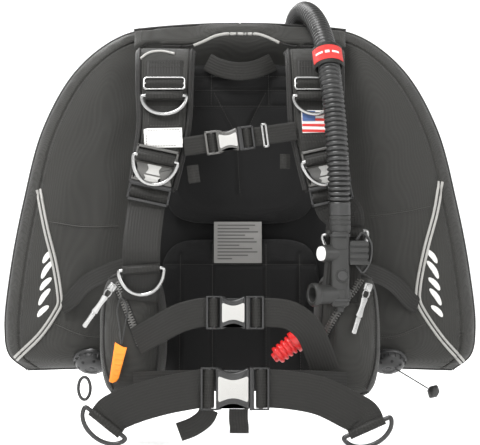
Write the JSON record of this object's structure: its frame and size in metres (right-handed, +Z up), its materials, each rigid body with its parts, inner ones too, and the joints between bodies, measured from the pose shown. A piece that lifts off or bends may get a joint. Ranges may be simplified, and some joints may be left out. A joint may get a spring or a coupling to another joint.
{
  "type": "buoyancy compensator vest",
  "caption": "Back-inflation diving vest with a horseshoe wing, padded harness, hard back plate, cargo pockets, side-release buckles and a corrugated inflator hose.",
  "frame": {"origin": "centre of the back plate's rear face, where the tank lies against it", "axes": "+Y out of the plate towards the tank, +Z up the wearer's back, +X to the wearer's left"},
  "size_m": [0.6618, 0.412, 0.6074],
  "materials": {
    "nylon_fabric": "coarse nylon pack cloth",
    "webbing": "woven nylon strap",
    "padded_mesh": "soft padded cloth",
    "hard_plastic": "moulded, slightly textured",
    "grey_plastic": "moulded, slightly textured",
    "steel": "polished stainless",
    "rubber": "ribbed rubber",
    "urethane": "smooth film",
    "red_plastic": "moulded",
    "white_plastic": "moulded"
  },
  "bodies": {
    "root": {"air_bladder": "urethane", "back_pad": "padded_mesh", "back_plate": "hard_plastic", "belt_buckle_socket": "hard_plastic", "cam_band": "webbing", "carry_handle": "webbing", "chest_buckle_socket": "grey_plastic", "collar_panel": "nylon_fabric", "hose_band": "webbing", "hose_elbow": "hard_plastic", "inflator_hose": "rubber", "left_belt_webbing": "webbing", "left_chest_webbing": "webbing", "left_dump_valve": "hard_plastic", "left_pocket": "nylon_fabric", "left_shoulder_buckle_socket": "grey_plastic", "left_shoulder_front_webbing": "webbing", "left_shoulder_lower_webbing": "webbing", "left_shoulder_strap": "padded_mesh", "left_side_strap": "webbing", "left_upper_triglide": "steel", "left_waist_webbing": "webbing", "lumbar_pad": "padded_mesh", "right_belt_webbing": "webbing", "right_chest_webbing": "webbing", "right_dump_valve": "hard_plastic", "right_pocket": "nylon_fabric", "right_shoulder_buckle_socket": "grey_plastic", "right_shoulder_front_webbing": "webbing", "right_shoulder_lower_webbing": "webbing", "right_shoulder_strap": "padded_mesh", "right_side_strap": "webbing", "right_upper_triglide": "steel", "right_waist_webbing": "webbing", "waist_buckle_socket": "hard_plastic", "wing_front_cover": "nylon_fabric", "wing_rear_cover": "nylon_fabric"},
    "inflator": {"inflator_body": "hard_plastic"},
    "inflate_button_part": {"inflate_button": "white_plastic"},
    "deflate_button_part": {"deflate_button": "hard_plastic"},
    "chest_plug": {"chest_buckle_plug": "grey_plastic"},
    "chest_slide_part": {"chest_slide": "steel"},
    "waist_plug": {"waist_buckle_plug": "hard_plastic"},
    "belt_plug": {"belt_buckle_plug": "hard_plastic"},
    "ripcord": {"ripcord_handle": "red_plastic"},
    "lever": {"cam_lever": "hard_plastic"},
    "dump_pull_part": {"dump_pull_cord": "rubber", "dump_pull_knob": "hard_plastic"},
    "right_upper_ring": {"right_upper_d_ring": "steel"},
    "right_lower_ring": {"right_lower_d_ring": "steel"},
    "right_waist_ring": {"right_waist_d_ring": "steel"},
    "right_hip_ring": {"right_belt_ring": "hard_plastic"},
    "right_shoulder_plug": {"right_shoulder_buckle_plug": "grey_plastic"},
    "right_zip": {"right_zip_slider": "steel"},
    "left_upper_ring": {"left_upper_d_ring": "steel"},
    "left_lower_ring": {"left_lower_d_ring": "steel"},
    "left_waist_ring": {"left_waist_d_ring": "steel"},
    "left_hip_ring": {"left_belt_ring": "hard_plastic"},
    "left_shoulder_plug": {"left_shoulder_buckle_plug": "grey_plastic"},
    "left_zip": {"left_zip_slider": "steel"}
  },
  "joints": [
    {"name": "inflator_lift", "type": "hinge", "parent": "root", "child": "inflator", "pos_m": [0.1184, -0.1146, 0.2175], "axis": [-1, 0, 0], "range_deg": [0, 100], "deforming": ["inflator_hose"]},
    {"name": "inflate_button_press", "type": "slide", "parent": "inflator", "child": "inflate_button_part", "axis": [0.8984, 0.4392, 0], "range_m": [0, 0.004], "stiffness_N_per_m": 400},
    {"name": "deflate_button_press", "type": "slide", "parent": "inflator", "child": "deflate_button_part", "axis": [0, 1, 0], "range_m": [0, 0.003], "stiffness_N_per_m": 400},
    {"name": "right_upper_ring_swing", "type": "hinge", "parent": "root", "child": "right_upper_ring", "pos_m": [-0.102, -0.11918, 0.1706], "axis": [-1, 0, 0], "range_deg": [0, 110]},
    {"name": "right_lower_ring_swing", "type": "hinge", "parent": "root", "child": "right_lower_ring", "pos_m": [-0.112, -0.14, 0.086], "axis": [-0.9781, 0, 0.2079], "range_deg": [0, 110]},
    {"name": "right_waist_ring_swing", "type": "hinge", "parent": "root", "child": "right_waist_ring", "pos_m": [-0.131, -0.16, -0.062], "axis": [-0.9976, 0, -0.0698], "range_deg": [0, 100]},
    {"name": "right_belt_ring_swing", "type": "hinge", "parent": "root", "child": "right_hip_ring", "pos_m": [-0.176, -0.192, -0.262], "axis": [-0.7826, 0, 0.6225], "range_deg": [0, 100]},
    {"name": "right_shoulder_buckle_release", "type": "slide", "parent": "root", "child": "right_shoulder_plug", "axis": [-0.2079, 0, -0.9781], "range_m": [0, 0.022], "deforming": ["right_shoulder_lower_webbing"]},
    {"name": "right_zip_slide", "type": "slide", "parent": "root", "child": "right_zip", "axis": [0.503, -0.1257, -0.8551], "range_m": [0, 0.035]},
    {"name": "left_upper_ring_swing", "type": "hinge", "parent": "root", "child": "left_upper_ring", "pos_m": [0.102, -0.11918, 0.1706], "axis": [-1, 0, 0], "range_deg": [0, 8]},
    {"name": "left_lower_ring_swing", "type": "hinge", "parent": "root", "child": "left_lower_ring", "pos_m": [0.112, -0.14, 0.086], "axis": [-0.9781, 0, -0.2079], "range_deg": [0, 10]},
    {"name": "left_waist_ring_swing", "type": "hinge", "parent": "root", "child": "left_waist_ring", "pos_m": [0.14, -0.133, -0.014], "axis": [-0.9945, 0, -0.1045], "range_deg": [0, 12]},
    {"name": "left_belt_ring_swing", "type": "hinge", "parent": "root", "child": "left_hip_ring", "pos_m": [0.166, -0.195, -0.268], "axis": [-0.9135, 0, -0.4067], "range_deg": [0, 100]},
    {"name": "left_shoulder_buckle_release", "type": "slide", "parent": "root", "child": "left_shoulder_plug", "axis": [0.2079, 0, -0.9781], "range_m": [0, 0.022], "deforming": ["left_shoulder_lower_webbing"]},
    {"name": "left_zip_slide", "type": "slide", "parent": "root", "child": "left_zip", "axis": [-0.503, -0.1257, -0.8551], "range_m": [0, 0.035]},
    {"name": "chest_buckle_release", "type": "slide", "parent": "root", "child": "chest_plug", "axis": [0.9903, 0, 0.1392], "range_m": [0, 0.024], "deforming": ["left_chest_webbing"]},
    {"name": "waist_buckle_release", "type": "slide", "parent": "root", "child": "waist_plug", "axis": [1, 0, 0], "range_m": [0, 0.028], "deforming": ["left_waist_webbing"]},
    {"name": "belt_buckle_release", "type": "slide", "parent": "root", "child": "belt_plug", "axis": [1, 0, 0], "range_m": [0, 0.038], "deforming": ["left_belt_webbing"]},
    {"name": "chest_slide_adjust", "type": "slide", "parent": "chest_plug", "child": "chest_slide_part", "axis": [0.9903, 0, 0.1392], "range_m": [-0.008, 0.01]},
    {"name": "ripcord_pull", "type": "slide", "parent": "root", "child": "ripcord", "axis": [-0.7915, 0, -0.6112], "range_m": [0, 0.06]},
    {"name": "cam_lever_flip", "type": "hinge", "parent": "root", "child": "lever", "pos_m": [-0.035, 0.195, 0.04], "axis": [0, 0, 1], "range_deg": [0, 150]},
    {"name": "dump_pull", "type": "slide", "parent": "root", "child": "dump_pull_part", "axis": [0.8602, -0.1, -0.5001], "range_m": [0, 0.008], "stiffness_N_per_m": 200}
  ]
}
